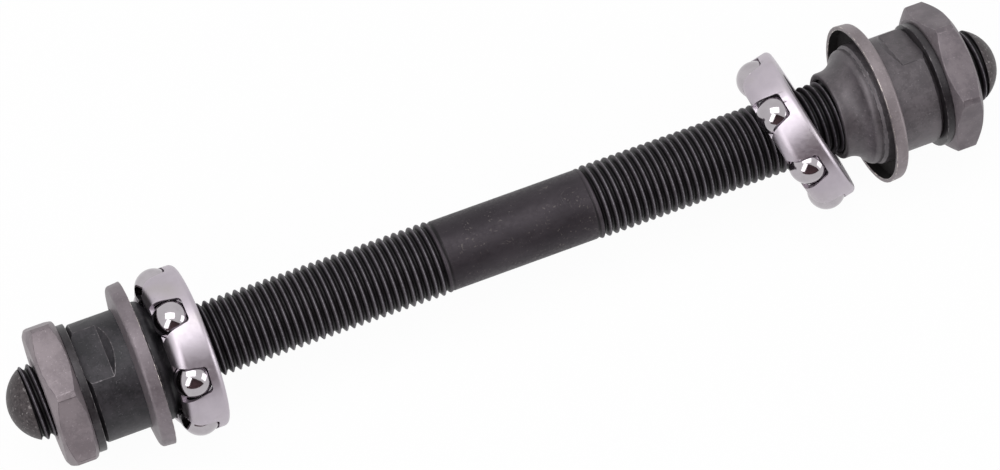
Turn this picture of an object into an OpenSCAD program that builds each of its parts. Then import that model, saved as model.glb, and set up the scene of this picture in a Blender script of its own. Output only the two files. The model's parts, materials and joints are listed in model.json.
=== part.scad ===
// Front wheel axle set of a bicycle: a threaded axle that carries, on each end, a cone with its
// pressed dust cover, a washer and a locknut, and a loose ball retainer between the two cones.
// The axle lies along Y with its middle at the origin, and +Z is up as it lies on a table.
// The axle's thread is cut as rings of its own pitch and depth, and the bores that run on it are plain.

/* [Axle] */
// Length over the domed ends
axle_len = 130; // [124:1:150]
// Outside diameter of the thread
thread_d = 9.36; // [9:0.01:10]
// Pitch of the thread
thread_pitch = 0.977; // [0.9:0.001:1.3]
// Depth of the thread's grooves
thread_depth = 0.55; // [0.3:0.05:0.65]
// Width left flat on the thread's crests
thread_crest = 0.14; // [0.05:0.01:0.3]
// Diameter of the unthreaded middle
plain_d = 8.96; // [8.4:0.01:9]
// Length of the unthreaded middle
plain_len = 18.7; // [8:0.1:30]
// Height of each domed end
dome_h = 2.6; // [1.2:0.1:3.4]
// Diameter of the dome where it meets the thread
dome_d = 8.9; // [7.6:0.1:8.95]
// Length of the bevel from the thread to the dome
dome_bevel = 0.25; // [0.2:0.05:0.8]

/* [Where the sets stand] */
// From the axle's left end to the outer end of the left cone
left_set_in = 9.5; // [8.6:0.1:15]
// From the axle's right end to the outer end of the right cone
right_set_in = 10.2; // [8.6:0.1:15]

/* [Locknuts] */
// Width across the flats
nut_af = 17; // [15:0.5:19]
// Thickness of a locknut
nut_t = 4; // [3:0.1:5]
// Turned diameter that rounds the corners
nut_turn_d = 19.2; // [17:0.1:22]
// Diameter of the round face that seats in the fork
nut_face_d = 15.9; // [13:0.1:17]
// Angle of the bevel round the outer face
nut_bevel_deg = 30; // [15:1:40]
// Diameter of the round face against the washer
nut_back_d = 16.4; // [13:0.1:18]
// Depth of the countersink at each end of the thread
nut_sink = 0.5; // [0.2:0.05:1]
// Turn of the left locknut's flat from straight up
left_nut_deg = 0; // [-30:1:30]
// Turn of the right locknut's flat from straight up
right_nut_deg = 23; // [-30:1:30]

/* [Washers] */
// Outside diameter of a washer
washer_d = 16; // [14:0.1:18]
// Thickness of a washer
washer_t = 1; // [0.8:0.1:1.6]
// Diameter of the hole in a washer
washer_hole_d = 10.1; // [9.8:0.1:10.6]
// How far a washer has dropped off centre on the thread
washer_off = 0.25; // [0:0.05:0.3]

/* [Cones] */
// Length of a cone from its nose to its outer end
cone_len = 12.5; // [11.5:0.1:14]
// Diameter of the body
cone_d = 14.9; // [14.5:0.1:16]
// Diameter of the collar that the dust cover is pressed against
collar_d = 15.6; // [15.1:0.1:17]
// From the nose to the collar's edge
collar_from_nose = 4.6; // [4.5:0.05:5.2]
// Length of the bevel up to the collar's edge
collar_bevel = 0.4; // [0.2:0.05:0.4]
// Diameter of the nose
nose_d = 11.2; // [10.8:0.1:11.4]
// Rounding of the nose's edge
nose_edge = 0.3; // [0.1:0.05:0.5]
// From the nose to where the hollow starts
race_from_nose = 0.75; // [0.5:0.05:0.9]
// Radius of the hollow that the balls run on
race_r = 2.75; // [2.5:0.05:3]
// How far round the hollow goes
race_deg = 61; // [50:1:64]
// Rounding between the hollow and the shoulder
shoulder_r = 0.9; // [0.5:0.1:1]
// Slope of the shoulder up to the collar's bevel
shoulder_deg = 2; // [1:1:14]
// Bevel round the outer end
cone_bevel = 0.5; // [0.2:0.05:0.8]
// Width across the two spanner flats
flat_af = 13; // [12.5:0.1:14]
// Length of a spanner flat
flat_len = 3.3; // [2:0.1:4.5]
// Turn of the left cone's flat from straight up
left_cone_deg = -1; // [-90:1:90]
// Turn of the right cone's flat from straight up
right_cone_deg = -25; // [-90:1:90]

/* [Dust covers] */
// Outside diameter at the rim's open edge
cover_d = 20.6; // [19.5:0.1:23]
// Outside diameter at the rim's back corner
cover_back_d = 20.4; // [19:0.1:22.5]
// Width of the rim
cover_w = 2.1; // [1.6:0.1:3]
// Thickness of the pressed sheet
cover_t = 0.5; // [0.4:0.05:1]
// Rounding of the rim's back corner
cover_round = 0.5; // [0.2:0.05:0.6]
// How far the back slopes outward from the body to the rim
cover_slope = 0.35; // [0:0.05:0.6]
// From the cone's nose to the rim's open edge
cover_from_nose = 4.55; // [4:0.05:6]

/* [Ball retainers] */
// Diameter of a ball
ball_d = 4.76; // [4.4:0.01:4.8]
// Diameter of the circle through the balls' centres
pitch_d = 16.7; // [16.6:0.05:17.5]
// Outside diameter of a cage
cage_d = 20.5; // [20.2:0.1:21.4]
// Thickness of the cage's sheet
cage_t = 0.55; // [0.4:0.05:0.7]
// From the balls' centres to the cage's open edge
cage_front = 1.95; // [1.7:0.05:2.3]
// From the balls' centres to the cage's closed back
cage_back = 3.2; // [3.15:0.05:3.6]
// Radius of the curl at the cage's open edge
curl_r = 1.75; // [1.2:0.05:1.9]
// Radius at which the tabs between the balls end
tab_end_r = 7.4; // [7.2:0.05:7.9]
// Diameter of the hole in the cage's closed back
back_hole_d = 13.4; // [12.6:0.1:13.6]
// Rounding of the closed back's corner
back_round = 0.7; // [0.6:0.05:1]
// Depth of a window from the balls' centres towards the closed back
window_depth = 1.7; // [1.4:0.05:1.8]
// Width of a window at its closed end
window_w = 3.5; // [3:0.1:4]
// Width of a window at the cage's open edge
window_open_w = 4.9; // [4.2:0.1:5.2]
// Rounding of a window's corners
window_round = 0.55; // [0.2:0.05:0.9]
// Gap all round a ball in its pocket
ball_gap = 0.1; // [0.05:0.01:0.15]

/* [Where the retainers lie] */
// How far the left retainer's balls lie in over the left cone's nose
left_ring_in = 0.9; // [-8:0.05:0.9]
// How far the left retainer hangs below the axle's centre line
left_ring_drop = 0.2; // [0:0.05:0.2]
// Lean of the left retainer, with its top towards the middle
left_ring_lean = 1.8; // [0:0.1:4]
// Sideways turn of the left retainer
left_ring_yaw = 1; // [0:0.1:2]
// Turn of the left retainer's first ball from straight up
left_ring_deg = 0; // [-25:1:25]
// From the right cone's nose to the right retainer, towards the middle
right_ring_out = 5.15; // [5.15:0.05:20]
// How far the right retainer lies sideways of the axle's centre line
right_ring_side = 0.15; // [0:0.05:0.3]
// How far the right retainer hangs below the axle's centre line
right_ring_drop = 0.6; // [0.4:0.05:0.65]
// Lean of the right retainer, with its top towards the middle
right_ring_lean = 21; // [12:0.5:21]
// Sideways turn of the right retainer
right_ring_yaw = 4; // [0:0.5:6]
// Turn of the right retainer's first ball from straight up
right_ring_deg = 4; // [-25:1:25]

/* [Clearances] */
// Gap between a threaded piece and the axle, on the radius
thread_gap = 0.05; // [0.02:0.01:0.1]

/* [Hidden] */

$fn = 96;
LEFT = -1;
RIGHT = 1;
balls = 7;
past = 1;
thread_r = thread_d / 2;
bore_r = thread_r + thread_gap;
left_set = axle_len / 2 - left_set_in;
right_set = axle_len / 2 - right_set_in;
ball_r = ball_d / 2;
pitch_r = pitch_d / 2;
pocket_r = ball_r + ball_gap;
cage_r = cage_d / 2;
cage_flare = cage_r - curl_r;
curl_z = curl_r - cage_front;
cone_r = cone_d / 2;
race_steps = 10;
shoulder_steps = 6;
dome_steps = 12;
corner_steps = 4;
curl_steps = 7;

steel_black = [0.17, 0.16, 0.16];
steel_grey = [0.47, 0.43, 0.44];
steel_dark = [0.33, 0.31, 0.31];
steel_plated = [0.78, 0.76, 0.80];
steel_polished = [0.88, 0.88, 0.90];

// Points of an arc round c from angle a0 to a1, in degrees
function arc(c, r, a0, a1, n) =
    [for (i = [0:n]) let (a = a0 + (a1 - a0) * i / n) [c[0] + r * cos(a), c[1] + r * sin(a)]];

// Same points, turned round one after the other
function reversed(p) = [for (i = [len(p) - 1:-1:0]) p[i]];

// Outline above the axis of one domed end, as radius and height above the end of the thread
function dome_outline() =
    let (edge_r = dome_d / 2,
         ball = (edge_r * edge_r + dome_h * dome_h) / (2 * dome_h),
         span = asin(edge_r / ball))
    [for (i = [0:dome_steps]) let (a = span * (1 - i / dome_steps))
        [ball * sin(a), ball * cos(a) - ball + dome_h]];

// The thread's grooves from one height to another, as radius and height
function grooves(from, to) =
    [for (i = [0:floor((to - from) / thread_pitch) - 1]) let (start = from + i * thread_pitch)
        each [[thread_r, start],
              [thread_r - thread_depth, start + (thread_pitch - thread_crest) / 2],
              [thread_r, start + thread_pitch - thread_crest]]];

// Puts a piece that is built along +Z on one side of the axle, with +Z pointing outward,
// from the outer end of that side's cone, and turned about the axle from straight up
module on_side(side, turn = 0) {
    stand = side == LEFT ? left_set : right_set;
    translate([0, side * stand, 0]) rotate([0, turn, 0]) rotate([-90 * side, 0, 0]) children();
}

// Puts a retainer's pieces, built about +Z with the open side down, where it lies on the axle
module in_ring(side) {
    left_y = -left_set + cone_len - left_ring_in;
    right_y = right_set - cone_len - right_ring_out;
    x = side == LEFT ? 0 : right_ring_side;
    y = side == LEFT ? left_y : right_y;
    drop = side == LEFT ? left_ring_drop : right_ring_drop;
    lean = side == LEFT ? -left_ring_lean : right_ring_lean;
    yaw = side == LEFT ? left_ring_yaw : right_ring_yaw;
    turn = side == LEFT ? left_ring_deg : right_ring_deg;
    translate([x, y, -drop]) rotate([lean, 0, yaw]) rotate([-90, 0, 0]) rotate([0, 0, turn - 90])
        children();
}

// Turns its children to one ball's place in a retainer, out along +X
module at_ball(k) rotate([0, 0, 360 / balls * (k - 1)]) children();

// The axle is one turned bar: thread, plain middle, thread, with a dome on each end
module axle() {
    half = axle_len / 2;
    thread_end = half - dome_h - dome_bevel;
    plain_half = plain_len / 2;
    runout = thread_r - plain_d / 2;
    side_outline = concat(
        [[plain_d / 2, plain_half]], grooves(plain_half + runout, thread_end),
        [[thread_r, thread_end]],
        [for (p = dome_outline()) [p[0], p[1] + thread_end + dome_bevel]]);
    other_side = [for (p = reversed(side_outline)) [p[0], -p[1]]];
    color(steel_black) rotate([-90, 0, 0]) rotate_extrude() polygon(concat(other_side, side_outline));
}

// A cone from its nose at the bottom to its outer end at z = 0
module cone_blank() {
    nose_r = nose_d / 2;
    nose_z = -cone_len;
    race_c = [nose_r + race_r, nose_z + race_from_nose];
    race = arc(race_c, race_r, 180, 180 - race_deg, race_steps);
    race_end = race[race_steps];
    shoulder_c = [race_end[0] + shoulder_r * cos(180 - race_deg),
                  race_end[1] + shoulder_r * sin(180 - race_deg)];
    shoulder = arc(shoulder_c, shoulder_r, -race_deg, -shoulder_deg, shoulder_steps);
    bevel_z = nose_z + collar_from_nose - collar_bevel;
    bevel_r = shoulder[shoulder_steps][0] + (bevel_z - shoulder[shoulder_steps][1]) * tan(shoulder_deg);
    seat_z = nose_z + cover_from_nose + cover_w - cover_t;
    sink = cone_bevel;
    rotate_extrude() polygon(concat(
        [[bore_r + sink / 2, nose_z], [nose_r - nose_edge, nose_z]],
        arc([nose_r - nose_edge, nose_z + nose_edge], nose_edge, -60, -20, 2),
        race, shoulder,
        [[bevel_r, bevel_z], [collar_d / 2, nose_z + collar_from_nose],
         [collar_d / 2, seat_z], [cone_r, seat_z],
         [cone_r, -cone_bevel], [cone_r - cone_bevel, 0], [bore_r + sink, 0], [bore_r, -sink],
         [bore_r, nose_z + sink / 2]]));
}

// Two spanner flats milled into the outer end, each with a sloping end wall
module spanner_flats() {
    depth = cone_r - flat_af / 2;
    for (s = [0, 180]) rotate([0, 0, s]) rotate([0, -90, 0])
        linear_extrude(cone_d + 2 * past, center = true)
            polygon([[-flat_len, flat_af / 2], [-flat_len - depth - past, cone_r + past],
                     [past, cone_r + past], [past, flat_af / 2]]);
}

module cone(side) {
    color(steel_dark) on_side(side, side == LEFT ? left_cone_deg : right_cone_deg) difference() {
        cone_blank();
        spanner_flats();
    }
}

// A dust cover pressed from sheet, with its rim open towards the wheel's middle
module dust_cover(side) {
    open_z = -cone_len + cover_from_nose;
    back_z = open_z + cover_w;
    rim_r = cover_d / 2;
    edge_z = back_z - cover_slope;
    corner = [cover_back_d / 2 - cover_round, edge_z - cover_round];
    color(steel_grey) on_side(side) rotate_extrude() polygon(concat(
        [[cone_r, back_z - cover_t], [cone_r, back_z]],
        arc(corner, cover_round, 90, 0, corner_steps),
        [[rim_r, open_z], [rim_r - cover_t, open_z],
         [cover_back_d / 2 - cover_t, edge_z - cover_t], [collar_d / 2, back_z - cover_t]]));
}

module washer(side) {
    color(steel_black) translate([washer_off, 0, 0]) on_side(side) difference() {
        cylinder(h = washer_t, d = washer_d);
        translate([0, 0, -past]) cylinder(h = washer_t + 2 * past, d = washer_hole_d);
    }
}

// A hexagon nut, its corners turned away at both faces and its thread countersunk
module locknut(side) {
    turn_r = nut_turn_d / 2;
    front = (turn_r - nut_face_d / 2) * tan(nut_bevel_deg);
    back = (turn_r - nut_back_d / 2) * tan(nut_bevel_deg);
    color(steel_grey) on_side(side, side == LEFT ? left_nut_deg : right_nut_deg)
        translate([0, 0, washer_t]) intersection() {
            cylinder(h = nut_t, d = nut_af / cos(30), $fn = 6);
            rotate_extrude() polygon([[bore_r, nut_sink], [bore_r + nut_sink, 0],
                [nut_back_d / 2, 0], [turn_r, back], [turn_r, nut_t - front],
                [nut_face_d / 2, nut_t], [bore_r + nut_sink, nut_t], [bore_r, nut_t - nut_sink]]);
        }
}

// Section of the pressed cage: closed back, band, and the curl at the open edge
module cage_section() {
    inner_r = cage_r - cage_t;
    polygon(concat(
        [[back_hole_d / 2, cage_back - cage_t], [back_hole_d / 2, cage_back]],
        arc([cage_r - back_round, cage_back - back_round], back_round, 90, 0, corner_steps),
        arc([cage_flare, curl_z], curl_r, 0, -90, curl_steps),
        [[tab_end_r, -cage_front], [tab_end_r, cage_t - cage_front]],
        arc([cage_flare, curl_z], curl_r - cage_t, -90, 0, curl_steps),
        [[inner_r, cage_back - cage_t]]));
}

// A window's outline, with X along the axle from the balls' centres and Y round the cage
module window_outline() {
    half = window_w / 2;
    open_half = window_open_w / 2;
    r = window_round;
    corner = [window_depth - r, half - r];
    far = cage_front + past;
    open_far = half + (open_half - half) * (window_depth + far) / (window_depth + cage_front);
    polygon(concat(
        arc(corner, r, 0, 90, corner_steps), [[-far, open_far], [-far, -open_far]],
        arc([corner[0], -corner[1]], r, -90, 0, corner_steps)));
}

// A cage, stamped with a window and a pocket for each ball
module cage(side) {
    color(steel_plated) in_ring(side) difference() {
        rotate_extrude() cage_section();
        for (k = [1:balls]) at_ball(k) {
            translate([pitch_r, 0, 0]) sphere(r = pocket_r);
            translate([pitch_r, 0, 0]) rotate([0, -90, 0]) mirror([0, 0, 1])
                linear_extrude(cage_r - pitch_r + past) window_outline();
        }
    }
}

module ball(side, k) {
    color(steel_polished) in_ring(side) at_ball(k) translate([pitch_r, 0, 0]) sphere(r = ball_r);
}

axle();
cone(LEFT);  // left_cone
dust_cover(LEFT);  // left_dust_cover
washer(LEFT);  // left_washer
locknut(LEFT);  // left_locknut
cone(RIGHT);  // right_cone
dust_cover(RIGHT);  // right_dust_cover
washer(RIGHT);  // right_washer
locknut(RIGHT);  // right_locknut
cage(LEFT);  // left_cage
ball(LEFT, 1);  // left_ball_1
ball(LEFT, 2);  // left_ball_2
ball(LEFT, 3);  // left_ball_3
ball(LEFT, 4);  // left_ball_4
ball(LEFT, 5);  // left_ball_5
ball(LEFT, 6);  // left_ball_6
ball(LEFT, 7);  // left_ball_7
cage(RIGHT);  // right_cage
ball(RIGHT, 1);  // right_ball_1
ball(RIGHT, 2);  // right_ball_2
ball(RIGHT, 3);  // right_ball_3
ball(RIGHT, 4);  // right_ball_4
ball(RIGHT, 5);  // right_ball_5
ball(RIGHT, 6);  // right_ball_6
ball(RIGHT, 7);  // right_ball_7
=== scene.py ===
import json
import math

import bmesh
import bpy
from mathutils import Matrix, Vector, noise


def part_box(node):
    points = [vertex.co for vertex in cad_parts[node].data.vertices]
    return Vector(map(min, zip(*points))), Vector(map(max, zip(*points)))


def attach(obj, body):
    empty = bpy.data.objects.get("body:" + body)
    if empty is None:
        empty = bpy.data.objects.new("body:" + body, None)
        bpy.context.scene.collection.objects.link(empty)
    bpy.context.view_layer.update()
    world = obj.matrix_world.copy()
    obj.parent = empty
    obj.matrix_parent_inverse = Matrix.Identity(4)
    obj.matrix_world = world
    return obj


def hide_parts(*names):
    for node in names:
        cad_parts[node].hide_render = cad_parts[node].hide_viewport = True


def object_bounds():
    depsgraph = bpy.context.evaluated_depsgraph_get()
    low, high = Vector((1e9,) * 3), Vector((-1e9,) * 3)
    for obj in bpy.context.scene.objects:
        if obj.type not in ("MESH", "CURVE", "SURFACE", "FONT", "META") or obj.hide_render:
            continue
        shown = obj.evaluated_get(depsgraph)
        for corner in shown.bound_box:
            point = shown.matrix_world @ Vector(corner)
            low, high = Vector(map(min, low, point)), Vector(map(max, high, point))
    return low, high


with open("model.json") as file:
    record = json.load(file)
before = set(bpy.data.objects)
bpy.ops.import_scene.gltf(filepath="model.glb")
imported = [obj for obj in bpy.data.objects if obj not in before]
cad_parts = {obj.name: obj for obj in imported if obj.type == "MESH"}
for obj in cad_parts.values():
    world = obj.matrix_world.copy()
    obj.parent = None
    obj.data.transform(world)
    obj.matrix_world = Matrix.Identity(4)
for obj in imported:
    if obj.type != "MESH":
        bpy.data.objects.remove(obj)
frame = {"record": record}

# The object's sizes are millimetres here, and one number turns them into metres
MM = 0.001
cad_low, cad_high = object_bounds()


# Camera: where the photograph was taken from, round the middle of the axle
CAMERA_AZIMUTH = math.radians(67.72)
CAMERA_ELEVATION = math.radians(61.62)
CAMERA_DISTANCE = 433.2
CAMERA_AIM_RIGHT = 1.67
CAMERA_AIM_UP = 0.6
LENS = 127.56
SENSOR = 36.0


def make_camera():
    """Puts the camera at the photograph's angle, with its picture's bottom edge level."""
    level = math.cos(CAMERA_ELEVATION)
    back = Vector((math.sin(CAMERA_AZIMUTH) * level, -math.cos(CAMERA_AZIMUTH) * level,
                   math.sin(CAMERA_ELEVATION)))
    right = Vector((0.0, 0.0, 1.0)).cross(back).normalized()
    up = back.cross(right)
    place = back * CAMERA_DISTANCE - right * CAMERA_AIM_RIGHT - up * CAMERA_AIM_UP
    data = bpy.data.cameras.new("camera")
    data.lens = LENS
    data.sensor_width = SENSOR
    data.clip_start = 0.01
    data.clip_end = 20.0
    camera = bpy.data.objects.new("camera", data)
    turn = Matrix((right, up, back)).transposed().to_4x4()
    camera.matrix_world = Matrix.Translation(place * MM) @ turn
    bpy.context.scene.collection.objects.link(camera)
    bpy.context.scene.camera = camera


make_camera()


# Sizes of the turned and pressed pieces, which the frame's boxes don't give
THREAD_R = 4.68
THREAD_ROOT_R = 4.13
PITCH = 25.4 / 26
PLAIN_R = 4.48
PLAIN_HALF = 9.35
DOME_H = 2.6
DOME_R = 4.45
DOME_BEVEL = 0.25
BORE_R = 4.73
NUT_AF = 17.0
NUT_TURN_R = 9.6
NUT_FACE_R = 7.95
NUT_BACK_R = 8.2
NUT_BEVEL = math.radians(30)
NUT_SINK = 0.5
WASHER_HOLE_R = 5.05
CONE_R = 7.45
COLLAR_R = 7.8
COLLAR_FROM_NOSE = 4.6
COLLAR_BEVEL = 0.4
NOSE_R = 5.6
NOSE_EDGE = 0.3
RACE_FROM_NOSE = 0.75
RACE_R = 2.75
RACE_TURN = math.radians(61)
SHOULDER_R = 0.9
SHOULDER_SLOPE = math.radians(2)
CONE_BEVEL = 0.5
FLAT_HALF = 6.5
FLAT_LEN = 3.3
COVER_T = 0.5
COVER_BACK_R = 10.2
COVER_ROUND = 0.5
COVER_SLOPE = 0.35
PITCH_R = 8.35
BALLS = 7
CAGE_R = 10.25
CAGE_T = 0.55
CAGE_FRONT = 1.95
CAGE_BACK = 3.2
CAGE_BACK_HOLE_R = 6.7
CAGE_BACK_ROUND = 0.7
CURL_R = 1.75
TAB_END_R = 7.4
BALL_GAP = 0.1
WINDOW_DEPTH = 1.7
WINDOW_W = 3.5
WINDOW_OPEN_W = 4.9
WINDOW_ROUND = 0.55
LEFT_NUT_TURN = math.radians(0)
RIGHT_NUT_TURN = math.radians(23)
LEFT_CONE_TURN = math.radians(-1)
RIGHT_CONE_TURN = math.radians(-25)
LEFT = -1
RIGHT = 1
SIDE_NAMES = {LEFT: "left", RIGHT: "right"}


def box_mm(node):
    """A node's lowest and highest corners at rest, in millimetres."""
    low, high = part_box(node)
    return Vector(low) / MM, Vector(high) / MM


# Node building

def set_input(tree, socket, value):
    """Links a socket to another node's output, or sets its number."""
    if isinstance(value, bpy.types.NodeSocket):
        tree.links.new(value, socket)
    else:
        socket.default_value = value


def maths(tree, operation, *values):
    """One Math node; the values are numbers or other nodes' outputs."""
    node = tree.nodes.new("ShaderNodeMath")
    node.operation = operation
    for index, value in enumerate(values):
        set_input(tree, node.inputs[index], value)
    return node.outputs[0]


# Mesh building

def arc(centre, radius, start, end, steps):
    """Points of an arc, from one angle to another, in radians."""
    turns = [start + (end - start) * step / steps for step in range(steps + 1)]
    return [(centre[0] + radius * math.cos(a), centre[1] + radius * math.sin(a)) for a in turns]


def lathe(outline, steps=144):
    """A closed outline of (radius, height) points turned round Z, as a closed bmesh."""
    mesh = bmesh.new()
    rings = []
    for step in range(steps):
        a = 2 * math.pi * step / steps
        rings.append([mesh.verts.new((r * math.cos(a), r * math.sin(a), z)) for r, z in outline])
    count = len(outline)
    for step in range(steps):
        here, there = rings[step], rings[(step + 1) % steps]
        for index in range(count):
            after = (index + 1) % count
            mesh.faces.new((here[index], there[index], there[after], here[after]))
    bmesh.ops.remove_doubles(mesh, verts=mesh.verts, dist=1e-5)
    bmesh.ops.dissolve_degenerate(mesh, edges=mesh.edges, dist=1e-6)
    bmesh.ops.recalc_face_normals(mesh, faces=mesh.faces)
    return mesh


def as_object(name, mesh, place=None):
    """Turns a bmesh in millimetres into an object at the origin, in metres."""
    if place is not None:
        mesh.transform(place)
    mesh.transform(Matrix.Scale(MM, 4))
    data = bpy.data.meshes.new(name)
    mesh.to_mesh(data)
    mesh.free()
    piece = bpy.data.objects.new(name, data)
    bpy.context.scene.collection.objects.link(piece)
    return piece


def settle(piece):
    """Applies a piece's modifiers to its mesh and leaves none on it."""
    view = bpy.context.evaluated_depsgraph_get()
    view.update()
    result = bpy.data.meshes.new_from_object(piece.evaluated_get(view))
    piece.modifiers.clear()
    old = piece.data
    piece.data = result
    bpy.data.meshes.remove(old)


def cut(piece, cutters, operation="DIFFERENCE"):
    """Cuts a piece with other objects, which are then removed."""
    for cutter in cutters:
        modifier = piece.modifiers.new("cut", "BOOLEAN")
        modifier.operation = operation
        modifier.solver = "EXACT"
        modifier.object = cutter
    settle(piece)
    for cutter in cutters:
        bpy.data.objects.remove(cutter)


def ease_edges(piece, width, angle=28, segments=3, worn=True):
    """Rounds sharp edges. The rounding takes the piece's second material, the worn one, which on the cages and
    dust covers also carries a painted highlight.
    """
    modifier = piece.modifiers.new("edges", "BEVEL")
    modifier.width = width * MM
    modifier.segments = segments
    modifier.limit_method = "ANGLE"
    modifier.angle_limit = math.radians(angle)
    modifier.use_clamp_overlap = True
    modifier.harden_normals = False
    if worn:
        modifier.material = 1
    settle(piece)


def smooth(piece, angle=35):
    """Smooth shading, with edges sharper than the angle kept sharp."""
    mesh = bmesh.new()
    mesh.from_mesh(piece.data)
    limit = math.radians(angle)
    for face in mesh.faces:
        face.smooth = True
    for edge in mesh.edges:
        if len(edge.link_faces) == 2:
            edge.smooth = edge.calc_face_angle(0.0) < limit
    mesh.to_mesh(piece.data)
    mesh.free()


def finish_piece(piece, node, materials):
    """Gives a piece its materials, and lets it stand for its CAD node on that node's body."""
    for index, material in enumerate(materials):
        if index < len(piece.data.materials):
            piece.data.materials[index] = material
        else:
            piece.data.materials.append(material)
    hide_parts(node)
    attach(piece, NODE_BODY[node])


NODE_BODY = {}
for body_name, body_nodes in frame["record"]["behaviour"]["bodies"].items():
    for body_node in body_nodes:
        NODE_BODY[body_node] = body_name


def side_place(side, turn=0.0):
    """Puts what is built along +Z on one side, +Z outward, from the outer end of its cone."""
    low, high = box_mm(f"{SIDE_NAMES[side]}_cone")
    stand = low.y if side == LEFT else high.y
    return (Matrix.Translation((0, stand, 0)) @ Matrix.Rotation(turn, 4, "Y")
            @ Matrix.Rotation(-side * math.pi / 2, 4, "X"))


def ring_place(side):
    """The place of a retainer: +Z towards its closed back, +X out through its first ball."""
    centres = []
    for number in range(1, BALLS + 1):
        low, high = box_mm(f"{SIDE_NAMES[side]}_ball_{number}")
        centres.append((low + high) / 2)
    middle = sum(centres, Vector()) / BALLS
    out = (centres[0] - middle).normalized()
    back = (centres[0] - middle).cross(centres[1] - middle).normalized()
    turn = Matrix((out, back.cross(out), back)).transposed().to_4x4()
    return Matrix.Translation(middle) @ turn


# Materials

class Surface:
    """A material in the making: its node tree and its main shader."""

    def __init__(self, name):
        self.material = bpy.data.materials.new(name)
        self.material.use_nodes = True
        self.tree = self.material.node_tree
        self.shader = self.tree.nodes["Principled BSDF"]
        coordinates = self.tree.nodes.new("ShaderNodeTexCoord")
        self.place = coordinates.outputs["Object"]

    def maths(self, operation, *values):
        return maths(self.tree, operation, *values)

    def scaled(self, scale):
        """Object coordinates stretched along each axis, as patterns per metre."""
        node = self.tree.nodes.new("ShaderNodeMapping")
        self.tree.links.new(self.place, node.inputs["Vector"])
        node.inputs["Scale"].default_value = scale
        return node.outputs["Vector"]

    def noise(self, scale, detail=4.0, rough=0.55, stretch=(1, 1, 1), seed=0.0):
        node = self.tree.nodes.new("ShaderNodeTexNoise")
        node.noise_dimensions = "4D"
        self.tree.links.new(self.scaled(stretch), node.inputs["Vector"])
        node.inputs["W"].default_value = seed
        node.inputs["Scale"].default_value = scale
        node.inputs["Detail"].default_value = detail
        node.inputs["Roughness"].default_value = rough
        return node.outputs["Fac"]

    def ramp(self, value, low, high, out_low=0.0, out_high=1.0):
        node = self.tree.nodes.new("ShaderNodeMapRange")
        node.clamp = True
        node.interpolation_type = "SMOOTHSTEP"
        set_input(self.tree, node.inputs["Value"], value)
        node.inputs["From Min"].default_value = low
        node.inputs["From Max"].default_value = high
        node.inputs["To Min"].default_value = out_low
        node.inputs["To Max"].default_value = out_high
        return node.outputs["Result"]

    def blend(self, share, first, second):
        node = self.tree.nodes.new("ShaderNodeMix")
        node.data_type = "RGBA"
        node.clamp_factor = True
        set_input(self.tree, node.inputs["Factor"], share)
        for socket, colour in ((node.inputs[6], first), (node.inputs[7], second)):
            if isinstance(colour, bpy.types.NodeSocket):
                self.tree.links.new(colour, socket)
            else:
                socket.default_value = (*colour, 1.0)
        return node.outputs[2]

    def across(self):
        """Distance from the axle's centre line, in metres."""
        node = self.tree.nodes.new("ShaderNodeSeparateXYZ")
        self.tree.links.new(self.place, node.inputs[0])
        sideways = self.maths("POWER", node.outputs["X"], 2.0)
        up = self.maths("POWER", node.outputs["Z"], 2.0)
        return self.maths("SQRT", self.maths("ADD", sideways, up))

    def along(self):
        """Distance from the axle's middle along its centre line, in metres."""
        node = self.tree.nodes.new("ShaderNodeSeparateXYZ")
        self.tree.links.new(self.place, node.inputs[0])
        return self.maths("ABSOLUTE", node.outputs["Y"])

    def scratches(self, scale, stretch, width, seed):
        """Thin broken lines, as the narrow band where a stretched noise crosses its middle."""
        wave = self.noise(scale, 1.5, 0.5, stretch, seed)
        line = self.ramp(self.maths("ABSOLUTE", self.maths("SUBTRACT", wave, 0.5)), 0.0, width, 1.0, 0.0)
        gate = self.ramp(self.noise(scale * 0.9, 2.0, 0.5, (1, 1, 1), seed + 7.0), 0.58, 0.66)
        return self.maths("MULTIPLY", line, gate)

    def specks(self, scale, seed, low=0.64, high=0.72):
        """Small scattered spots."""
        return self.ramp(self.noise(scale, 1.5, 0.5, (1, 1, 1), seed), low, high)

    def bump(self, height, strength, distance):
        node = self.tree.nodes.new("ShaderNodeBump")
        node.inputs["Strength"].default_value = strength
        node.inputs["Distance"].default_value = distance * MM
        self.tree.links.new(height, node.inputs["Height"])
        self.tree.links.new(node.outputs["Normal"], self.shader.inputs["Normal"])

    def set(self, name, value):
        set_input(self.tree, self.shader.inputs[name], value)


def oxide_steel(name, dark, light, rough, seed, scratched=0.30):
    """Blackened or phosphated steel: a matte, faintly mottled skin with fine marks."""
    s = Surface(name)
    broad = s.noise(330.0, 4.0, 0.62, (1, 1, 1), seed)
    fine = s.noise(2700.0, 5.0, 0.65, (1, 1, 1), seed + 3)
    share = s.maths("ADD", s.maths("MULTIPLY", broad, 0.65), s.maths("MULTIPLY", fine, 0.35))
    colour = s.blend(s.ramp(share, 0.40, 0.60), dark, light)
    bright = tuple(min(1.0, c * 1.6 + 0.05) for c in light)
    marks = s.scratches(1500.0, (1.0, 0.3, 0.6), 0.012, seed + 11)
    colour = s.blend(s.maths("MULTIPLY", marks, scratched), colour, bright)
    colour = s.blend(s.maths("MULTIPLY", s.specks(4200.0, seed + 17), 0.40), colour, bright)
    s.set("Base Color", colour)
    s.set("Metallic", 0.45)
    s.set("Roughness", s.ramp(fine, 0.3, 0.7, rough - 0.06, rough + 0.08))
    s.bump(fine, 0.25, 0.02)
    return s.material


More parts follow.
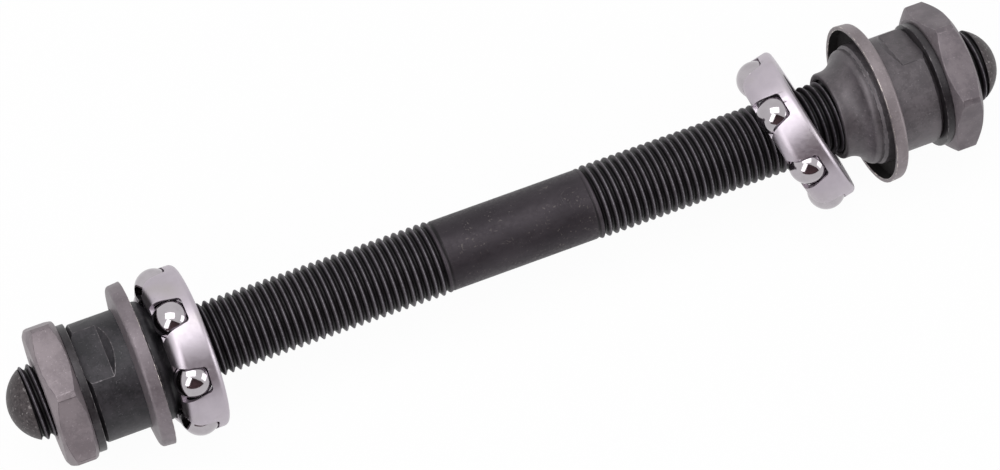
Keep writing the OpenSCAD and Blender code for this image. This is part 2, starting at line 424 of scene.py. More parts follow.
def worn_steel(name, base, worn, rough, seed):
    """The rubbed edges of a steel piece, where the skin has gone in places. The dust covers' much lighter copy
    is also a painted highlight.
    """
    s = Surface(name)
    broken = s.noise(1400.0, 4.0, 0.6, (1, 1, 1), seed)
    share = s.ramp(broken, 0.46, 0.60)
    s.set("Base Color", s.blend(share, base, worn))
    s.set("Metallic", 0.8)
    s.set("Roughness", s.ramp(broken, 0.4, 0.65, rough, rough - 0.1))
    s.bump(broken, 0.2, 0.02)
    return s.material


def axle_steel(dome_from):
    """Black oxide on the axle: near black in the grooves from oil and painted shade, lighter grey on the crests
    from rubbing and a painted highlight, rubbed grey on the domes.
    """
    s = Surface("axle_black_oxide")
    across = s.across()
    fine = s.noise(2600.0, 4.0, 0.6, (1, 1, 1), 2.0)
    broad = s.noise(260.0, 3.0, 0.6, (1, 0.5, 1), 5.0)
    colour = s.blend(s.ramp(broad, 0.35, 0.65), (0.044, 0.036, 0.044), (0.068, 0.057, 0.067))
    turned = s.scratches(700.0, (0.10, 1.0, 0.10), 0.010, 21.0)
    colour = s.blend(s.maths("MULTIPLY", turned, 0.25), colour, (0.15, 0.14, 0.14))
    handled = s.maths("MULTIPLY", s.specks(3300.0, 61.0, 0.60, 0.70), s.specks(380.0, 64.0, 0.46, 0.66))
    nicks = s.maths("MAXIMUM", handled, s.scratches(1000.0, (1.0, 0.4, 1.0), 0.014, 71.0))
    on_bar = s.ramp(s.along(), (PLAIN_HALF - 0.2) * MM, (PLAIN_HALF + 0.2) * MM, 0.60, 0.0)
    colour = s.blend(s.maths("MULTIPLY", nicks, on_bar), colour, (0.22, 0.195, 0.185))
    # Painted shade: the thread's grooves go near black, along with the oil in them.
    groove = s.ramp(across, (THREAD_R - 0.32) * MM, (THREAD_R - 0.12) * MM, 1.0, 0.0)
    colour = s.blend(groove, colour, (0.007, 0.006, 0.007))
    # Painted highlight: the thread's crests are lighter grey, along with the rubbing they get.
    crest = s.ramp(across, (THREAD_R - 0.05) * MM, (THREAD_R - 0.005) * MM)
    crest = s.maths("MULTIPLY", crest, s.ramp(fine, 0.34, 0.62, 0.25, 1.0))
    colour = s.blend(crest, colour, (0.215, 0.208, 0.228))
    rubbed = s.blend(s.ramp(fine, 0.40, 0.60), (0.044, 0.037, 0.039), (0.084, 0.072, 0.075))
    rubbed = s.blend(s.maths("MULTIPLY", s.specks(2600.0, 41.0, 0.60, 0.68), 0.7), rubbed, (0.26, 0.24, 0.24))
    on_dome = s.ramp(s.along(), (dome_from - 0.05) * MM, (dome_from + 0.05) * MM)
    s.set("Base Color", s.blend(on_dome, colour, rubbed))
    s.set("Metallic", 0.5)
    s.set("Roughness", s.ramp(fine, 0.3, 0.7, 0.40, 0.58))
    s.set("Specular IOR Level", 0.3)
    s.bump(fine, 0.25, 0.015)
    return s.material


def cage_steel():
    """Bright satin plating on the stamped cages, faintly clouded and yellowed."""
    s = Surface("cage_plated")
    grain = s.noise(2100.0, 4.0, 0.6, (1, 1, 1), 4.0)
    cloud = s.noise(320.0, 3.0, 0.6, (1, 1, 1), 9.0)
    colour = s.blend(s.ramp(cloud, 0.35, 0.65), (0.452, 0.408, 0.455), (0.488, 0.442, 0.490))
    tint = s.ramp(s.noise(170.0, 2.0, 0.5, (1, 1, 1), 14.0), 0.50, 0.74, 0.0, 0.40)
    colour = s.blend(tint, colour, (0.42, 0.40, 0.35))
    marks = s.scratches(1600.0, (1.0, 0.4, 1.0), 0.010, 31.0)
    colour = s.blend(s.maths("MULTIPLY", marks, 0.35), colour, (0.26, 0.24, 0.27))
    s.set("Base Color", colour)
    s.set("Metallic", 1.0)
    s.set("Roughness", s.ramp(grain, 0.3, 0.7, 0.37, 0.45))
    s.bump(grain, 0.02, 0.01)
    return s.material


def cage_edge_glint_steel():
    """The sheared edges of the cages, burnished and given a painted glint, brighter than the faces."""
    s = Surface("cage_edge_glint")
    grain = s.noise(1800.0, 3.0, 0.6, (1, 1, 1), 16.0)
    s.set("Base Color", s.blend(s.ramp(grain, 0.35, 0.65), (0.48, 0.45, 0.49), (0.64, 0.61, 0.65)))
    s.set("Metallic", 1.0)
    s.set("Roughness", s.ramp(grain, 0.35, 0.7, 0.28, 0.38))
    return s.material


def ball_steel():
    """Mirror polish, with the faintest handling marks."""
    s = Surface("ball_polished")
    haze = s.noise(500.0, 3.0, 0.6, (1, 1, 1), 6.0)
    colour = s.blend(s.ramp(haze, 0.35, 0.65), (0.40, 0.372, 0.395), (0.45, 0.420, 0.445))
    marks = s.scratches(1900.0, (1.0, 0.5, 0.8), 0.006, 51.0)
    s.set("Base Color", s.blend(s.maths("MULTIPLY", marks, 0.25), colour, (0.40, 0.38, 0.40)))
    s.set("Metallic", 1.0)
    s.set("Roughness", s.ramp(haze, 0.35, 0.7, 0.08, 0.12))
    s.bump(haze, 0.02, 0.01)
    return s.material


AXLE_STEEL = axle_steel(box_mm("axle")[1].y - DOME_H)
# The left cone has a darker copy of the cone steel than the right: painted shade for how the light falls on that
# end.
CONE_STEEL = {
    LEFT: oxide_steel("left_cone_black_shaded_steel", (0.018, 0.017, 0.020), (0.042, 0.038, 0.044), 0.48, 3.0, 0.9),
    RIGHT: oxide_steel("right_cone_dark_steel", (0.082, 0.072, 0.079), (0.130, 0.114, 0.124), 0.46, 63.0)}
CONE_WORN = worn_steel("cone_worn_edge", (0.06, 0.055, 0.06), (0.15, 0.138, 0.146), 0.46, 8.0)
COVER_STEEL = {
    LEFT: oxide_steel("left_cover_grey_steel", (0.165, 0.139, 0.154), (0.220, 0.188, 0.206), 0.46, 13.0),
    RIGHT: oxide_steel("right_cover_grey_steel", (0.200, 0.170, 0.180), (0.262, 0.226, 0.238), 0.46, 83.0)}
# Painted shade: the inside of each dust cover's cup is near black.
COVER_INSIDE_SHADE = oxide_steel("cover_inside_painted_shade", (0.008, 0.006, 0.006), (0.018, 0.015, 0.015), 0.80, 93.0)
# The covers' rounded edges are far lighter than their faces: partly worn edges, partly a painted highlight.
COVER_EDGE_WEAR_AND_HIGHLIGHT = worn_steel("cover_edge_wear_and_highlight", (0.20, 0.175, 0.185), (0.62, 0.56, 0.52), 0.34, 18.0)
# The left nut has a lighter copy of the nut steel than the right: partly painted light for the lamp from the
# upper left, partly the pieces' own difference.
NUT_STEEL = {
    LEFT: oxide_steel("left_nut_lit_grey_steel", (0.190, 0.160, 0.174), (0.260, 0.222, 0.238), 0.48, 23.0),
    RIGHT: oxide_steel("right_nut_grey_steel", (0.125, 0.106, 0.118), (0.180, 0.154, 0.168), 0.48, 73.0)}
NUT_WORN = worn_steel("nut_worn_edge", (0.15, 0.128, 0.140), (0.23, 0.20, 0.213), 0.44, 28.0)
WASHER_STEEL = oxide_steel("washer_black_steel", (0.020, 0.017, 0.020), (0.042, 0.037, 0.041), 0.38, 33.0)
WASHER_WORN = worn_steel("washer_worn_edge", (0.04, 0.036, 0.040), (0.13, 0.12, 0.125), 0.36, 38.0)
CAGE_STEEL = cage_steel()
# Painted glint: the cage edges are brighter than the faces, along with their burnish.
CAGE_EDGE_GLINT = cage_edge_glint_steel()
BALL_STEEL = ball_steel()


# Axle

THREAD_COLUMNS = 72
THREAD_ROWS = 10
THREAD_RUNOUT = 1.1
THREAD_FLANK_LOW = 0.16
THREAD_FLANK_HIGH = 0.86


def thread_tree():
    """Geometry Nodes for a rolled right-hand thread: a grid sheared along the helix.

    Its rows follow the helix, so the crests are clean lines. At the plain end the thread runs out
    into the bar, and at the domed end a bevel takes its crests away.
    """
    tree = bpy.data.node_groups.new("rolled_thread", "GeometryNodeTree")
    face = tree.interface
    face.new_socket(name="Geometry", in_out="INPUT", socket_type="NodeSocketGeometry")
    for label in ("Plain end", "Domed end", "Pitch", "Crest radius", "Root radius",
                  "Plain radius", "Run-out", "Dome radius", "Bevel"):
        face.new_socket(name=label, in_out="INPUT", socket_type="NodeSocketFloat")
    face.new_socket(name="Turns", in_out="INPUT", socket_type="NodeSocketInt")
    face.new_socket(name="Material", in_out="INPUT", socket_type="NodeSocketMaterial")
    face.new_socket(name="Geometry", in_out="OUTPUT", socket_type="NodeSocketGeometry")
    given = tree.nodes.new("NodeGroupInput").outputs
    result = tree.nodes.new("NodeGroupOutput").inputs["Geometry"]

    def m(operation, *values):
        return maths(tree, operation, *values)

    rows = m("ADD", m("MULTIPLY", given["Turns"], float(THREAD_ROWS)), 1.0)
    grid = tree.nodes.new("GeometryNodeMeshGrid")
    grid.inputs["Vertices X"].default_value = THREAD_COLUMNS + 1
    grid.inputs["Size X"].default_value = float(THREAD_COLUMNS)
    tree.links.new(rows, grid.inputs["Vertices Y"])
    tree.links.new(m("SUBTRACT", rows, 1.0), grid.inputs["Size Y"])
    spot = tree.nodes.new("ShaderNodeSeparateXYZ")
    tree.links.new(tree.nodes.new("GeometryNodeInputPosition").outputs[0], spot.inputs[0])
    column = m("ROUND", m("ADD", spot.outputs["X"], THREAD_COLUMNS / 2))
    row = m("ROUND", m("ADD", spot.outputs["Y"], m("DIVIDE", m("SUBTRACT", rows, 1.0), 2.0)))

    around = m("DIVIDE", column, float(THREAD_COLUMNS))
    angle = m("MULTIPLY", around, 2 * math.pi)
    along = m("ADD", m("DIVIDE", row, float(THREAD_ROWS)), m("SUBTRACT", around, 1.0))
    low = m("MINIMUM", given["Plain end"], given["Domed end"])
    high = m("MAXIMUM", given["Plain end"], given["Domed end"])
    y = m("ADD", low, m("MULTIPLY", along, given["Pitch"]))
    y = m("MAXIMUM", m("MINIMUM", y, high), low)

    phase = m("FRACT", m("ADD", m("DIVIDE", row, float(THREAD_ROWS)), 1e-4))
    tooth = m("SUBTRACT", 1.0, m("ABSOLUTE", m("SUBTRACT", m("MULTIPLY", phase, 2.0), 1.0)))
    rise = m("DIVIDE", m("SUBTRACT", tooth, THREAD_FLANK_LOW), THREAD_FLANK_HIGH - THREAD_FLANK_LOW)
    rise = m("MAXIMUM", m("MINIMUM", rise, 1.0), 0.0)
    depth = m("SUBTRACT", given["Crest radius"], given["Root radius"])
    cut_r = m("ADD", given["Root radius"], m("MULTIPLY", rise, depth))
    from_plain = m("ABSOLUTE", m("SUBTRACT", y, given["Plain end"]))
    share = m("MINIMUM", m("DIVIDE", from_plain, given["Run-out"]), 1.0)
    bar_r = m("ADD", given["Plain radius"],
              m("MULTIPLY", share, m("SUBTRACT", cut_r, given["Plain radius"])))
    from_dome = m("ABSOLUTE", m("SUBTRACT", y, given["Domed end"]))
    slope = m("DIVIDE", m("SUBTRACT", given["Crest radius"], given["Dome radius"]), given["Bevel"])
    limit = m("ADD", given["Dome radius"], m("MULTIPLY", from_dome, slope))
    r = m("MINIMUM", bar_r, limit)

    point = tree.nodes.new("ShaderNodeCombineXYZ")
    tree.links.new(m("MULTIPLY", r, m("SINE", angle)), point.inputs["X"])
    tree.links.new(y, point.inputs["Y"])
    tree.links.new(m("MULTIPLY", r, m("COSINE", angle)), point.inputs["Z"])
    move = tree.nodes.new("GeometryNodeSetPosition")
    tree.links.new(grid.outputs["Mesh"], move.inputs["Geometry"])
    tree.links.new(point.outputs[0], move.inputs["Position"])
    join = tree.nodes.new("GeometryNodeMergeByDistance")
    join.inputs["Distance"].default_value = 2e-6
    tree.links.new(move.outputs[0], join.inputs["Geometry"])
    real = tree.nodes.new("GeometryNodeRealizeInstances")
    tree.links.new(join.outputs[0], real.inputs[0])
    dress = tree.nodes.new("GeometryNodeSetMaterial")
    tree.links.new(real.outputs[0], dress.inputs["Geometry"])
    tree.links.new(given["Material"], dress.inputs["Material"])
    tree.links.new(dress.outputs[0], result)
    return tree


def make_thread(name, tree, plain_end, domed_end):
    """One threaded stretch of the axle, as a closed mesh in metres."""
    holder = bpy.data.objects.new(name, bpy.data.meshes.new(name))
    bpy.context.scene.collection.objects.link(holder)
    modifier = holder.modifiers.new("thread", "NODES")
    modifier.node_group = tree
    values = {"Plain end": plain_end * MM, "Domed end": domed_end * MM, "Pitch": PITCH * MM,
              "Crest radius": THREAD_R * MM, "Root radius": THREAD_ROOT_R * MM,
              "Plain radius": PLAIN_R * MM, "Run-out": THREAD_RUNOUT * MM,
              "Dome radius": DOME_R * MM, "Bevel": DOME_BEVEL * MM,
              "Turns": math.ceil(abs(domed_end - plain_end) / PITCH) + 2, "Material": AXLE_STEEL}
    for item in tree.interface.items_tree:
        if item.in_out == "INPUT" and item.name in values:
            modifier[item.identifier] = values[item.name]
    settle(holder)
    mesh = bmesh.new()
    mesh.from_mesh(holder.data)
    bpy.data.objects.remove(holder)
    bmesh.ops.dissolve_degenerate(mesh, edges=mesh.edges, dist=1e-6)
    bmesh.ops.holes_fill(mesh, edges=[e for e in mesh.edges if e.is_boundary], sides=0)
    bmesh.ops.recalc_face_normals(mesh, faces=mesh.faces)
    return mesh


def bar_outline():
    """Half outline of one domed end, from the thread's end to the pole, as (radius, height)."""
    ball = (DOME_R ** 2 + DOME_H ** 2) / (2 * DOME_H)
    span = math.asin(DOME_R / ball)
    steps = 20
    rim = [(ball * math.sin(span * (1 - i / steps)), ball * math.cos(span * (1 - i / steps)) - ball + DOME_H)
           for i in range(steps + 1)]
    return [(0.0, -1.2), (THREAD_ROOT_R - 0.15, -1.2), (THREAD_ROOT_R - 0.15, -0.02), (DOME_R, -0.02)] + rim


def make_axle():
    low, high = box_mm("axle")
    dome_base = high.y - DOME_H
    tree = thread_tree()
    whole = bmesh.new()
    parts = []
    for side in (LEFT, RIGHT):
        mesh = make_thread("thread", tree, side * PLAIN_HALF, side * dome_base)
        mesh.transform(Matrix.Scale(1 / MM, 4))
        parts.append(mesh)
        dome = lathe(bar_outline(), 96)
        dome.transform(Matrix.Translation((0, side * dome_base, 0))
                       @ Matrix.Rotation(-side * math.pi / 2, 4, "X"))
        bmesh.ops.recalc_face_normals(dome, faces=dome.faces)
        parts.append(dome)
    middle = lathe([(0.0, -PLAIN_HALF), (PLAIN_R, -PLAIN_HALF), (PLAIN_R, PLAIN_HALF), (0.0, PLAIN_HALF)], 96)
    middle.transform(Matrix.Rotation(-math.pi / 2, 4, "X"))
    parts.append(middle)
    for part in parts:
        data = bpy.data.meshes.new("part")
        part.to_mesh(data)
        part.free()
        whole.from_mesh(data)
        bpy.data.meshes.remove(data)
    piece = as_object("axle_bar", whole)
    smooth(piece, 40)
    finish_piece(piece, "axle", [AXLE_STEEL])


make_axle()


# Cones, dust covers, washers and locknuts

def cone_outline(length, seat):
    """Outline of a cone from its nose, at minus its length, to its outer end at 0."""
    nose = -length
    race_c = (NOSE_R + RACE_R, nose + RACE_FROM_NOSE)
    race = arc(race_c, RACE_R, math.pi, math.pi - RACE_TURN, 28)
    end = race[-1]
    turn = math.pi - RACE_TURN
    shoulder_c = (end[0] + SHOULDER_R * math.cos(turn), end[1] + SHOULDER_R * math.sin(turn))
    shoulder = arc(shoulder_c, SHOULDER_R, -RACE_TURN, -SHOULDER_SLOPE, 14)
    edge_c = (NOSE_R - NOSE_EDGE, nose + NOSE_EDGE)
    bevel_z = nose + COLLAR_FROM_NOSE - COLLAR_BEVEL
    bevel_r = shoulder[-1][0] + (bevel_z - shoulder[-1][1]) * math.tan(SHOULDER_SLOPE)
    sink = CONE_BEVEL / 2
    return ([(BORE_R + sink, nose)] + arc(edge_c, NOSE_EDGE, -math.pi / 2, 0, 6) + race
            + shoulder[1:] + [(bevel_r, bevel_z), (COLLAR_R, nose + COLLAR_FROM_NOSE), (COLLAR_R, seat),
                              (CONE_R, seat), (CONE_R, -CONE_BEVEL), (CONE_R - CONE_BEVEL, 0.0),
                              (BORE_R + CONE_BEVEL, 0.0), (BORE_R, -CONE_BEVEL), (BORE_R, nose + sink)])


def flat_cutter(turn):
    """A wedge that mills one spanner flat, with a sloping end wall."""
    mesh = bmesh.new()
    reach = 12.0
    depth = reach - FLAT_HALF
    outline = [(FLAT_HALF, 3.0), (FLAT_HALF, -FLAT_LEN), (reach, -FLAT_LEN - depth), (reach, 3.0)]
    ends = [[mesh.verts.new((x, y, z)) for y, z in outline] for x in (-reach, reach)]
    mesh.faces.new(ends[0])
    mesh.faces.new(ends[1])
    for i in range(4):
        j = (i + 1) % 4
        mesh.faces.new((ends[0][i], ends[0][j], ends[1][j], ends[1][i]))
    bmesh.ops.recalc_face_normals(mesh, faces=mesh.faces)
    mesh.transform(Matrix.Rotation(turn, 4, "Z"))
    return mesh


def make_cone(side):
    name = SIDE_NAMES[side]
    low, high = box_mm(f"{name}_cone")
    cover_low, cover_high = box_mm(f"{name}_dust_cover")
    length = high.y - low.y
    stand = abs(low.y if side == LEFT else high.y)
    back_z = max(abs(cover_low.y), abs(cover_high.y)) - stand
    turn = LEFT_CONE_TURN if side == LEFT else RIGHT_CONE_TURN
    place = side_place(side, turn)
    piece = as_object(f"{name}_cone_body", lathe(cone_outline(length, back_z - COVER_T)), place)
    cutters = [as_object("cutter", flat_cutter(t), place) for t in (0.0, math.pi)]
    cut(piece, cutters)
    piece.data.materials.append(CONE_STEEL[side])
    piece.data.materials.append(CONE_WORN)
    ease_edges(piece, 0.07, 22, 4)
    smooth(piece, 24)
    finish_piece(piece, f"{name}_cone", [CONE_STEEL[side], CONE_WORN])


INSIDE_FROM_RIM = 0.12


def shade_cover_inside(piece, side, open_y):
    """Gives a cover's inner faces, which look in at the axle or at its middle, the third material: near-black
    painted shade inside the cup.
    """
    for face in piece.data.polygons:
        out = Vector((face.center.x, 0.0, face.center.z))
        looks_in = face.normal.dot(out) < -0.1 * out.length
        looks_to_middle = face.normal.y * side < -0.1 and out.length / MM < COVER_BACK_R - COVER_T
        if abs(face.center.y) / MM > open_y + INSIDE_FROM_RIM and (looks_in or looks_to_middle):
            face.material_index = 2


def make_cover(side):
    name = SIDE_NAMES[side]
    low, high = box_mm(f"{name}_dust_cover")
    cone_low, cone_high = box_mm(f"{name}_cone")
    stand = abs(cone_low.y if side == LEFT else cone_high.y)
    open_z = min(abs(low.y), abs(high.y)) - stand
    back_z = max(abs(low.y), abs(high.y)) - stand
    rim_r = high.z
    edge_z = back_z - COVER_SLOPE
    corner = (COVER_BACK_R - COVER_ROUND, edge_z - COVER_ROUND)
    outline = ([(CONE_R, back_z - COVER_T), (CONE_R, back_z)] + arc(corner, COVER_ROUND, math.pi / 2, 0.0, 10)
               + [(rim_r, open_z), (rim_r - COVER_T, open_z), (COVER_BACK_R - COVER_T, edge_z - COVER_T),
                  (COLLAR_R, back_z - COVER_T)])
    piece = as_object(f"{name}_cover_cup", lathe(outline, 180), side_place(side))
    for material in (COVER_STEEL[side], COVER_EDGE_WEAR_AND_HIGHLIGHT, COVER_INSIDE_SHADE):
        piece.data.materials.append(material)
    ease_edges(piece, 0.06, 30)
    shade_cover_inside(piece, side, stand + open_z)
    smooth(piece)
    finish_piece(piece, f"{name}_dust_cover", [COVER_STEEL[side], COVER_EDGE_WEAR_AND_HIGHLIGHT, COVER_INSIDE_SHADE])


def make_washer(side):
    name = SIDE_NAMES[side]
    low, high = box_mm(f"{name}_washer")
    radius = (high.z - low.z) / 2
    thick = high.y - low.y
    off = (low.x + high.x) / 2
    outline = [(WASHER_HOLE_R, 0.0), (radius, 0.0), (radius, thick), (WASHER_HOLE_R, thick)]
    place = Matrix.Translation((off, 0, 0)) @ side_place(side)
    piece = as_object(f"{name}_washer_ring", lathe(outline, 120), place)
    piece.data.materials.append(WASHER_STEEL)
    piece.data.materials.append(WASHER_WORN)
    ease_edges(piece, 0.09, 30)
    smooth(piece)
    finish_piece(piece, f"{name}_washer", [WASHER_STEEL, WASHER_WORN])


def hexagon_prism(height):
    """A hexagon bar with two of its flats square to Y."""
    mesh = bmesh.new()
    corner = NUT_AF / 2 / math.cos(math.pi / 6)
    rings = []
    for z in (-1.0, height + 1.0):
        rings.append([mesh.verts.new((corner * math.cos(i * math.pi / 3), corner * math.sin(i * math.pi / 3), z))
                      for i in range(6)])
    mesh.faces.new(rings[0])
    mesh.faces.new(rings[1])
    for i in range(6):
        j = (i + 1) % 6
        mesh.faces.new((rings[0][i], rings[0][j], rings[1][j], rings[1][i]))
    bmesh.ops.recalc_face_normals(mesh, faces=mesh.faces)
    return mesh


def make_nut(side):
    name = SIDE_NAMES[side]
    low, high = box_mm(f"{name}_locknut")
    washer_low, washer_high = box_mm(f"{name}_washer")
    thick = high.y - low.y
    gap = washer_high.y - washer_low.y
    front = (NUT_TURN_R - NUT_FACE_R) * math.tan(NUT_BEVEL)
    back = (NUT_TURN_R - NUT_BACK_R) * math.tan(NUT_BEVEL)
    outline = [(BORE_R, NUT_SINK), (BORE_R + NUT_SINK, 0.0), (NUT_BACK_R, 0.0), (NUT_TURN_R, back),
               (NUT_TURN_R, thick - front), (NUT_FACE_R, thick), (BORE_R + NUT_SINK, thick),
               (BORE_R, thick - NUT_SINK)]
    turn = LEFT_NUT_TURN if side == LEFT else RIGHT_NUT_TURN
    place = side_place(side, turn) @ Matrix.Translation((0, 0, gap))
    piece = as_object(f"{name}_nut_body", hexagon_prism(thick), place)
    cut(piece, [as_object("turned", lathe(outline, 180), place)], "INTERSECT")
    piece.data.materials.append(NUT_STEEL[side])
    piece.data.materials.append(NUT_WORN)
    ease_edges(piece, 0.10, 20)
    smooth(piece)
    finish_piece(piece, f"{name}_locknut", [NUT_STEEL[side], NUT_WORN])


for a_side in (LEFT, RIGHT):
    make_cone(a_side)
    make_cover(a_side)
    make_washer(a_side)
    make_nut(a_side)


# Ball retainers

def cage_outline():
    """Section of a cage: closed back, band, and the curl at its open edge."""
    back = CAGE_BACK
    flare = CAGE_R - CURL_R
    curl_z = CURL_R - CAGE_FRONT
    return ([(CAGE_BACK_HOLE_R, back - CAGE_T), (CAGE_BACK_HOLE_R, back)]
            + arc((CAGE_R - CAGE_BACK_ROUND, back - CAGE_BACK_ROUND), CAGE_BACK_ROUND, math.pi / 2, 0, 10)
            + arc((flare, curl_z), CURL_R, 0, -math.pi / 2, 20)
            + [(TAB_END_R, -CAGE_FRONT), (TAB_END_R, CAGE_T - CAGE_FRONT)]
            + arc((flare, curl_z), CURL_R - CAGE_T, -math.pi / 2, 0, 20)
            + [(CAGE_R - CAGE_T, back - CAGE_T)])


def window_cutter():
    """A prism out along +X from the first ball, with the window's outline across it."""
    half = WINDOW_W / 2
    far = CAGE_FRONT + 1.0
    flare = (WINDOW_OPEN_W / 2 - half) / (WINDOW_DEPTH + CAGE_FRONT)
    open_far = half + flare * (WINDOW_DEPTH + far)
    r = WINDOW_ROUND
    outline = (arc((WINDOW_DEPTH - r, half - r), r, 0, math.pi / 2, 8) + [(-far, open_far), (-far, -open_far)]
               + arc((WINDOW_DEPTH - r, r - half), r, -math.pi / 2, 0, 8))
    mesh = bmesh.new()
    ends = [[mesh.verts.new((x, y, z)) for z, y in outline] for x in (PITCH_R, CAGE_R + 1.0)]
    mesh.faces.new(ends[0])
    mesh.faces.new(ends[1])
    count = len(outline)
    for i in range(count):
        j = (i + 1) % count
        mesh.faces.new((ends[0][i], ends[0][j], ends[1][j], ends[1][i]))
    bmesh.ops.recalc_face_normals(mesh, faces=mesh.faces)
    return mesh


def pocket_cutter(ball_r):
    mesh = bmesh.new()
    bmesh.ops.create_uvsphere(mesh, u_segments=48, v_segments=32, radius=ball_r + BALL_GAP)
    mesh.transform(Matrix.Translation((PITCH_R, 0, 0)))
    return mesh


def stamped_tree():
    """Geometry Nodes that stamp a ring of equal pockets and windows out of a turned shell."""
    tree = bpy.data.node_groups.new("stamped_cage", "GeometryNodeTree")
    face = tree.interface
    face.new_socket(name="Geometry", in_out="INPUT", socket_type="NodeSocketGeometry")
    face.new_socket(name="Pocket", in_out="INPUT", socket_type="NodeSocketObject")
    face.new_socket(name="Window", in_out="INPUT", socket_type="NodeSocketObject")
    face.new_socket(name="Balls", in_out="INPUT", socket_type="NodeSocketInt")
    face.new_socket(name="Material", in_out="INPUT", socket_type="NodeSocketMaterial")
    face.new_socket(name="Geometry", in_out="OUTPUT", socket_type="NodeSocketGeometry")
    given = tree.nodes.new("NodeGroupInput").outputs
    result = tree.nodes.new("NodeGroupOutput").inputs["Geometry"]
    spots = tree.nodes.new("GeometryNodeMeshLine")
    tree.links.new(given["Balls"], spots.inputs["Count"])
    spots.inputs["Offset"].default_value = (0.0, 0.0, 0.0)
    index = tree.nodes.new("GeometryNodeInputIndex").outputs[0]
    angle = maths(tree, "DIVIDE", maths(tree, "MULTIPLY", index, 2 * math.pi), given["Balls"])
    turn = tree.nodes.new("ShaderNodeCombineXYZ")
    tree.links.new(angle, turn.inputs["Z"])
    shell = given["Geometry"]
    for name in ("Pocket", "Window"):
        source = tree.nodes.new("GeometryNodeObjectInfo")
        tree.links.new(given[name], source.inputs["Object"])
        copies = tree.nodes.new("GeometryNodeInstanceOnPoints")
        tree.links.new(spots.outputs[0], copies.inputs["Points"])
        tree.links.new(source.outputs["Geometry"], copies.inputs["Instance"])
        tree.links.new(turn.outputs[0], copies.inputs["Rotation"])
        real = tree.nodes.new("GeometryNodeRealizeInstances")
        tree.links.new(copies.outputs[0], real.inputs[0])
        stamp = tree.nodes.new("GeometryNodeMeshBoolean")
        stamp.operation = "DIFFERENCE"
        stamp.solver = "EXACT"
        tree.links.new(shell, stamp.inputs["Mesh 1"])
        tree.links.new(real.outputs[0], stamp.inputs["Mesh 2"])
        shell = stamp.outputs["Mesh"]
    last = tree.nodes.new("GeometryNodeRealizeInstances")
    tree.links.new(shell, last.inputs[0])
    dress = tree.nodes.new("GeometryNodeSetMaterial")
    tree.links.new(last.outputs[0], dress.inputs["Geometry"])
    tree.links.new(given["Material"], dress.inputs["Material"])
    tree.links.new(dress.outputs[0], result)
    return tree


def make_cage(side, tree):
    name = SIDE_NAMES[side]
    low, high = box_mm(f"{name}_ball_1")
    ball_r = (high - low).length / 2 / math.sqrt(3)
    piece = as_object(f"{name}_cage_shell", lathe(cage_outline(), 168))
    pocket = as_object("pocket", pocket_cutter(ball_r))
    window = as_object("window", window_cutter())
    modifier = piece.modifiers.new("stamp", "NODES")
    modifier.node_group = tree
    values = {"Pocket": pocket, "Window": window, "Balls": BALLS, "Material": CAGE_STEEL}
    for item in tree.interface.items_tree:
        if item.in_out == "INPUT" and item.name in values:
            modifier[item.identifier] = values[item.name]
    settle(piece)
    bpy.data.objects.remove(pocket)
    bpy.data.objects.remove(window)
    piece.data.materials.clear()
    for material in (CAGE_STEEL, CAGE_EDGE_GLINT):
        piece.data.materials.append(material)
    for face in piece.data.polygons:
        face.material_index = 0
    ease_edges(piece, 0.055, 35)
    place = ring_place(side)
    piece.data.transform(Matrix.Scale(MM, 4) @ place @ Matrix.Scale(1 / MM, 4))
    smooth(piece)
    finish_piece(piece, f"{name}_cage", [CAGE_STEEL, CAGE_EDGE_GLINT])
    for number in range(1, BALLS + 1):
        make_ball(side, number)


def make_ball(side, number):
    node = f"{SIDE_NAMES[side]}_ball_{number}"
    low, high = box_mm(node)
    radius = max(high - low) / 2
    mesh = bmesh.new()
    bmesh.ops.create_icosphere(mesh, subdivisions=4, radius=radius)
    piece = as_object(f"{node}_steel", mesh, Matrix.Translation((low + high) / 2))
    for polygon in piece.data.polygons:
        polygon.use_smooth = True
    finish_piece(piece, node, [BALL_STEEL])


STAMPED = stamped_tree()
for a_side in (LEFT, RIGHT):
    make_cage(a_side, STAMPED)


# Floor, lights and world

FLOOR_HALF = 3.0
FLOOR_GLOW = 0.96
SHADE_WORLD = 0.35


def seen_share(tree, *rays):
    """1 for the kinds of ray that are named, and 0 for the others."""
    path = tree.nodes.new("ShaderNodeLightPath")
    share = path.outputs[rays[0]]
    for ray in rays[1:]:
        share = maths(tree, "MAXIMUM", share, path.outputs[ray])
    return share


def link_mesh(name, mesh, material):
    data = bpy.data.meshes.new(name)
    mesh.to_mesh(data)
    mesh.free()
    data.materials.append(material)
    sheet = bpy.data.objects.new(name, data)
    bpy.context.scene.collection.objects.link(sheet)
    return sheet


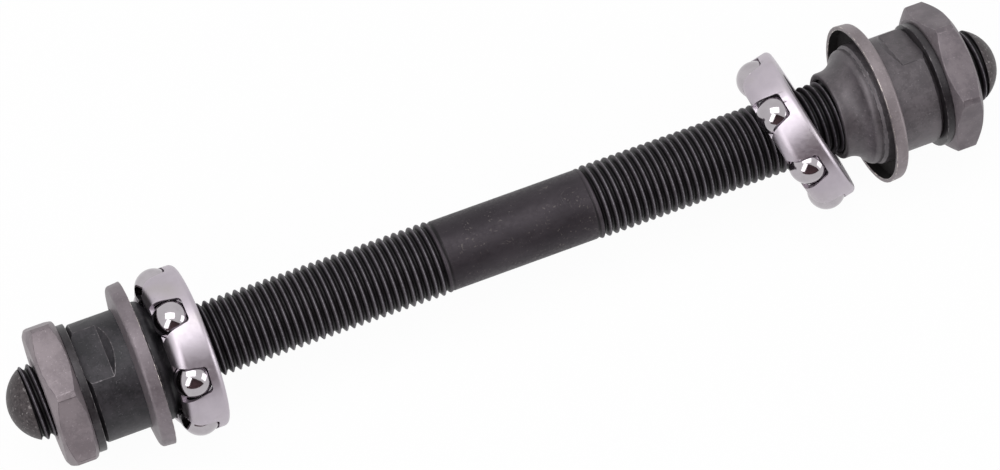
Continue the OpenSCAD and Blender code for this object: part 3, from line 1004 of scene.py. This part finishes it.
def make_floor():
    """A pale floor under the object, nearly white to the camera, which keeps the soft shadow."""
    mesh = bmesh.new()
    for x, y in ((-1, -1), (1, -1), (1, 1), (-1, 1)):
        mesh.verts.new((x * FLOOR_HALF, y * FLOOR_HALF, cad_low.z - 0.05 * MM))
    mesh.faces.new(mesh.verts)
    material = bpy.data.materials.new("floor_pale")
    material.use_nodes = True
    tree = material.node_tree
    shader = tree.nodes["Principled BSDF"]
    shader.inputs["Base Color"].default_value = (0.97, 0.97, 0.98, 1.0)
    shader.inputs["Roughness"].default_value = 0.9
    shader.inputs["Specular IOR Level"].default_value = 0.1
    glow = tree.nodes.new("ShaderNodeEmission")
    glow.inputs["Color"].default_value = (1.0, 1.0, 1.0, 1.0)
    mix = tree.nodes.new("ShaderNodeMixShader")
    seen = seen_share(tree, "Is Camera Ray", "Is Glossy Ray", "Is Transmission Ray")
    tree.links.new(maths(tree, "MULTIPLY", seen, FLOOR_GLOW), mix.inputs["Fac"])
    tree.links.new(shader.outputs[0], mix.inputs[1])
    tree.links.new(glow.outputs[0], mix.inputs[2])
    tree.links.new(mix.outputs[0], tree.nodes["Material Output"].inputs["Surface"])
    link_mesh("floor", mesh, material)


def facing(place, aim):
    """A place in the studio, turned with its -Z towards what it aims at."""
    direction = Vector(aim) - Vector(place)
    return Matrix.Translation(place) @ direction.to_track_quat("-Z", "Y").to_matrix().to_4x4()


def make_dark_card():
    """A dark sheet on the camera's side, seen only in reflections: it paints a dark reflection, for the dark
    side of the studio that the camera looks in from.
    """
    mesh = bmesh.new()
    for x, y in ((-0.50, 0.0), (1.50, 0.0), (1.25, 0.75), (0.20, 1.70), (-0.05, 1.70)):
        mesh.verts.new((x, y, 0.0))
    mesh.faces.new(mesh.verts)
    bearing = CAMERA_AZIMUTH - math.pi / 2
    ahead = Vector((math.cos(bearing), math.sin(bearing), 0.0))
    turn = Matrix.Rotation(bearing + math.pi / 2, 4, "Z") @ Matrix.Rotation(math.pi / 2, 4, "X")
    mesh.transform(Matrix.Translation(ahead * 0.85 + Vector((0, 0, cad_low.z))) @ turn)
    material = bpy.data.materials.new("painted_dark_reflection")
    material.use_nodes = True
    shader = material.node_tree.nodes["Principled BSDF"]
    shader.inputs["Base Color"].default_value = (0.14, 0.085, 0.092, 1.0)
    shader.inputs["Roughness"].default_value = 1.0
    card = link_mesh("dark_card", mesh, material)
    card.visible_camera = False
    card.visible_diffuse = False
    card.visible_shadow = False


def make_light(name, place, width, height, power):
    """A soft panel light that faces the object."""
    data = bpy.data.lights.new(name, "AREA")
    data.shape = "RECTANGLE"
    data.size = width
    data.size_y = height
    data.energy = power
    light = bpy.data.objects.new(name, data)
    light.matrix_world = facing(place, (0, 0, 0))
    bpy.context.scene.collection.objects.link(light)


def make_world():
    world = bpy.data.worlds.new("studio")
    bpy.context.scene.world = world
    world.use_nodes = True
    tree = world.node_tree
    background = tree.nodes["Background"]
    seen = seen_share(tree, "Is Camera Ray", "Is Glossy Ray", "Is Transmission Ray")
    strength = maths(tree, "ADD", maths(tree, "MULTIPLY", seen, 1.0 - SHADE_WORLD), SHADE_WORLD)
    background.inputs["Color"].default_value = (1.0, 1.0, 1.0, 1.0)
    tree.links.new(strength, background.inputs["Strength"])


make_floor()
make_world()
make_dark_card()
make_light("overhead", (-0.045, -0.12, 0.80), 0.52, 0.80, 3.0)
make_light("left_front", (0.42, -0.53, 0.52), 0.34, 0.82, 2.1)
make_light("right_side", (0.40, 0.82, 0.30), 0.56, 0.54, 1.9)
bpy.context.scene.view_settings.view_transform = "Standard"
